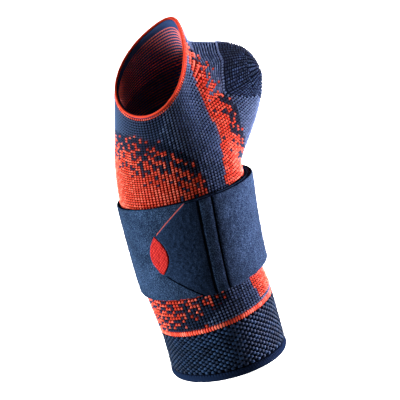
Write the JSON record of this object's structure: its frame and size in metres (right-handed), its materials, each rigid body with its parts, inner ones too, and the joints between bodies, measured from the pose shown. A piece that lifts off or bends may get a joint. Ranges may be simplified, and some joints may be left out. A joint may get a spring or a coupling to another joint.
{
  "type": "wrist support",
  "caption": "Knitted wrist support: compression sleeve with a slanted hand opening, rounded thumb pocket, forearm cuff and a wide wrap strap closed by a tapered flap with a pull tab.",
  "frame": {"origin": "middle of the wrist, inside the strap, on the line the forearm takes", "axes": "+Z along the forearm towards the fingers, +X to the thumb side, -Y the side with the strap's flap"},
  "size_m": [0.0843, 0.0654, 0.1793],
  "materials": {
    "navy_knit": "matte stretch knit, navy with orange stitches",
    "orange_knit": "matte rolled knit edge",
    "strap_cloth": "brushed loop pile",
    "flap_cloth": "brushed loop pile, darker",
    "tab_cloth": "fine woven tab"
  },
  "bodies": {
    "root": {"sleeve": "navy_knit", "hand_edge": "orange_knit", "forearm_edge": "navy_knit", "thumb_edge": "navy_knit", "strap_wrap": "strap_cloth", "strap_strip": "strap_cloth", "strap_flap": "flap_cloth", "strap_tab": "tab_cloth"}
  },
  "joints": []
}
